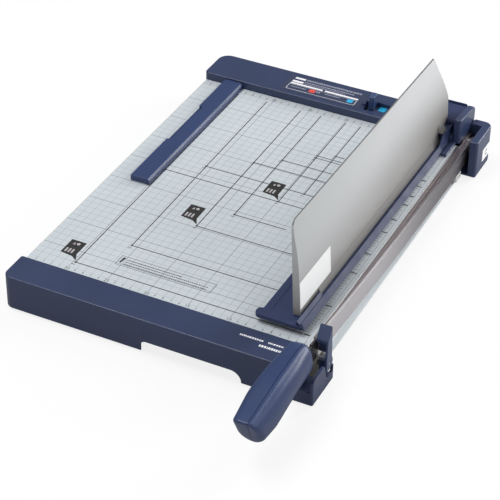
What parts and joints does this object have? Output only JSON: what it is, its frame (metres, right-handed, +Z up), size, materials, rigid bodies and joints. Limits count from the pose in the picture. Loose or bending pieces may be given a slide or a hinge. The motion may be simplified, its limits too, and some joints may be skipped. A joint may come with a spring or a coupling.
{
  "type": "lever-arm paper cutter",
  "caption": "Tabletop paper cutter: ruled table between two end casings, hinged blade arm with a grip, sprung clamp with a tall guard, sliding guide and arm lock.",
  "frame": {"origin": "centre of the outside box on the ground plane, under the feet", "axes": "+Y from the handle end towards the rear pivot, +X towards the blade side, +Z up from the desk"},
  "size_m": [0.3762, 0.6532, 0.1707],
  "materials": {
    "navy_plastic": "fine satin grain, dark navy",
    "blue_plastic": "satin, navy blue",
    "clamp_finish": "satin blue coat",
    "grip_plastic": "smooth, soft shine, navy blue",
    "printed_sheet": "pale grey-green print ground, satin",
    "pale_steel": "pale grey coat, satin",
    "bright_metal": "bright, fine brushed",
    "blade_steel": "ground steel",
    "arm_steel": "satin steel",
    "fastener_steel": "zinc plated",
    "spring_steel": "dark spring steel",
    "bush_brass": "plain turned",
    "pale_nylon": "satin, off white",
    "black_rubber": "matt",
    "guard_grey": "grey, smooth, slightly darker low down",
    "white_label": "plain white film",
    "cyan_marker": "bright cyan"
  },
  "bodies": {
    "cutter_base": {"front_casing": "navy_plastic", "rear_casing": "navy_plastic", "inner_pivot_cover": "navy_plastic", "outer_pivot_cover": "navy_plastic", "rear_label": "navy_plastic", "ruled_sheet": "printed_sheet", "base_frame": "pale_steel", "cross_brace": "pale_steel", "edge_strip": "bright_metal", "fixed_blade": "blade_steel", "pivot_bracket": "blade_steel", "fixed_blade_screw_1": "fastener_steel", "fixed_blade_screw_2": "fastener_steel", "fixed_blade_screw_3": "fastener_steel", "casing_screw_1": "fastener_steel", "casing_screw_2": "fastener_steel", "casing_screw_3": "fastener_steel", "casing_screw_4": "fastener_steel", "foot_screw_1": "fastener_steel", "foot_screw_2": "fastener_steel", "foot_screw_3": "fastener_steel", "foot_screw_4": "fastener_steel", "pivot_bracket_screw_1": "fastener_steel", "pivot_bracket_screw_2": "fastener_steel", "pivot_bolt": "fastener_steel", "pivot_nut": "fastener_steel", "pivot_spacer": "fastener_steel", "pivot_washer": "fastener_steel", "clamp_pivot_pin": "fastener_steel", "arm_lock_pin": "fastener_steel", "pivot_spring_washer": "spring_steel", "clamp_spring": "spring_steel", "arm_lock_spring": "spring_steel", "arm_stop_pad": "pale_nylon", "rubber_foot_1": "black_rubber", "rubber_foot_2": "black_rubber", "rubber_foot_3": "black_rubber", "rubber_foot_4": "black_rubber", "side_label": "white_label", "selector_marker": "cyan_marker"},
    "blade_arm": {"arm_bar": "arm_steel", "moving_blade": "blade_steel", "blade_screw_1": "fastener_steel", "blade_screw_2": "fastener_steel", "blade_screw_3": "fastener_steel", "blade_screw_4": "fastener_steel", "handle_inner": "grip_plastic", "handle_outer": "grip_plastic", "handle_screw_1": "fastener_steel", "handle_screw_2": "fastener_steel", "pivot_bush": "bush_brass"},
    "paper_clamp": {"clamp_bar": "clamp_finish", "clamp_pad": "black_rubber", "blade_guard": "guard_grey", "guard_label": "white_label"},
    "selector": {"selector_knob": "blue_plastic"},
    "lock": {"arm_lock": "blue_plastic"},
    "guide": {"paper_guide": "blue_plastic", "guide_magnet": "black_rubber"}
  },
  "joints": [
    {"name": "arm_hinge", "type": "hinge", "parent": "cutter_base", "child": "blade_arm", "pos_m": [0.1711, 0.29862, 0.029], "axis": [-1, 0, 0], "range_deg": [0, 65]},
    {"name": "clamp_hinge", "type": "hinge", "parent": "cutter_base", "child": "paper_clamp", "pos_m": [0.1364, 0.30262, 0.061], "axis": [-1, 0, 0], "range_deg": [-0.86, 0]},
    {"name": "selector_slide", "type": "slide", "parent": "cutter_base", "child": "selector", "axis": [1, 0, 0], "range_m": [0, 0.022]},
    {"name": "lock_hinge", "type": "hinge", "parent": "cutter_base", "child": "lock", "pos_m": [0.1797, -0.16288, 0.028], "axis": [-1, 0, 0], "range_deg": [0, 35]},
    {"name": "guide_slide", "type": "slide", "parent": "cutter_base", "child": "guide", "axis": [1, 0, 0], "range_m": [-0.025, 0.205]}
  ]
}
